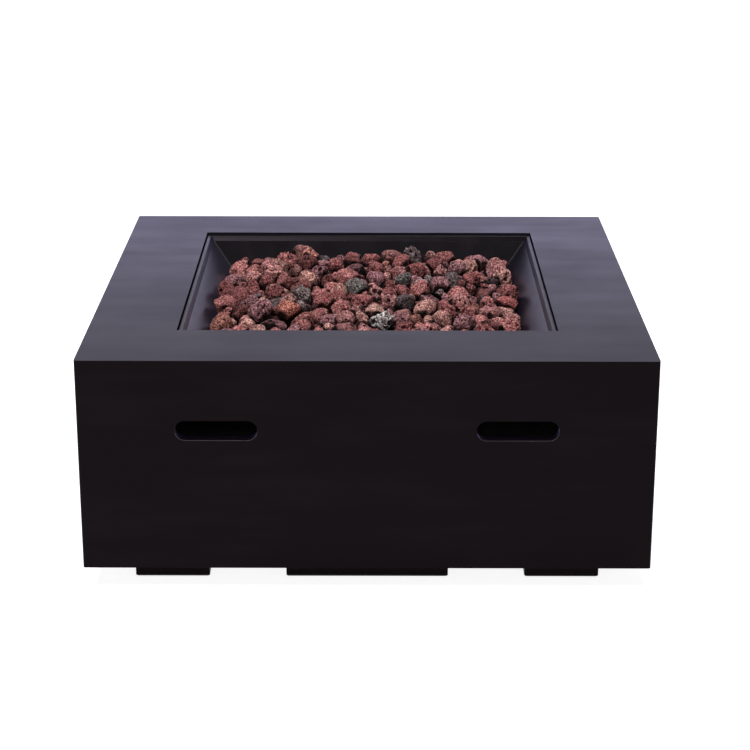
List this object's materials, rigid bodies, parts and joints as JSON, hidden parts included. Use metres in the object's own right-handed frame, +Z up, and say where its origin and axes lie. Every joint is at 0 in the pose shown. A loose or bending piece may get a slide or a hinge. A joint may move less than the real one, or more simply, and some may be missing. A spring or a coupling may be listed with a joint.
{
  "type": "gas fire pit",
  "caption": "Square low gas fire pit: cast casing on low feet, hand slots, drop-in steel fire bowl, ring burner under a rock grate and lava rocks, recessed knob and igniter",
  "frame": {"origin": "on the ground, midway between the casing's four sides", "axes": "+Z up, front with two hand slots towards -Y, control box on the +X side"},
  "size_m": [0.89, 0.89, 0.39],
  "materials": {
    "casing": "satin",
    "board": "matte",
    "zinc": "satin",
    "seal": "matte",
    "bowl": "satin",
    "stainless": "satin",
    "brass": "satin",
    "aluminium": "satin",
    "copper": "satin",
    "valve": "matte",
    "dial": "matte",
    "knob": "matte",
    "button": "gloss",
    "battery": "satin",
    "lead": "matte",
    "insulator": "gloss",
    "grate": "matte",
    "rock": "matte"
  },
  "bodies": {
    "fire_pit": {"casing": "casing", "base_panel": "board", "foot_front_left": "casing", "foot_front_middle": "casing", "foot_front_right": "casing", "foot_rear_left": "casing", "foot_rear_middle": "casing", "foot_rear_right": "casing", "foot_screws": "zinc", "base_brackets": "zinc", "bracket_screws": "zinc", "rim_seal": "seal", "fire_bowl_floor": "bowl", "fire_bowl_sides": "bowl", "fire_bowl_rim": "bowl", "ring_burner": "stainless", "burner_locknut": "brass", "burner_elbow": "brass", "mixer_tube": "stainless", "gas_jet": "brass", "supply_pipe": "copper", "supply_nuts": "brass", "gas_valve": "valve", "valve_spring": "stainless", "valve_screws": "zinc", "inlet_fitting": "brass", "control_box": "stainless", "control_box_screws": "stainless", "knob_bezel": "dial", "igniter_housing": "knob", "igniter_nut": "zinc", "igniter_spring": "stainless", "igniter_battery": "battery", "igniter_end_cap": "knob", "ignition_lead": "lead", "electrode_ceramic": "insulator", "electrode_pin": "stainless", "thermocouple": "stainless", "thermocouple_nut": "brass", "thermocouple_lead": "copper", "pilot_bracket": "stainless", "flame_hood": "stainless", "pilot_screws": "stainless", "heat_shield": "aluminium", "shield_rivets": "aluminium", "rock_grate": "grate", "lava_rocks": "rock"},
    "push_rod": {"valve_push_rod": "brass"},
    "knob": {"control_knob": "knob", "valve_stem": "stainless"},
    "igniter_button": {"igniter_button": "button"},
    "air_shutter": {"air_shutter": "aluminium"}
  },
  "joints": [
    {"name": "knob_push", "type": "slide", "parent": "fire_pit", "child": "push_rod", "axis": [-1, 0, 0], "range_m": [0, 0.004], "stiffness_N_per_m": 1500, "deforming": ["valve_spring"]},
    {"name": "knob_turn", "type": "hinge", "parent": "push_rod", "child": "knob", "pos_m": [0.42, -0.036, 0.198], "axis": [1, 0, 0], "range_deg": [0, 180]},
    {"name": "igniter_press", "type": "slide", "parent": "fire_pit", "child": "igniter_button", "axis": [-1, 0, 0], "range_m": [0, 0.004], "stiffness_N_per_m": 900, "deforming": ["igniter_spring"]},
    {"name": "shutter_turn", "type": "hinge", "parent": "fire_pit", "child": "air_shutter", "pos_m": [0.092, 0.015, 0.247], "axis": [1, 0, 0], "range_deg": [0, 60]}
  ]
}
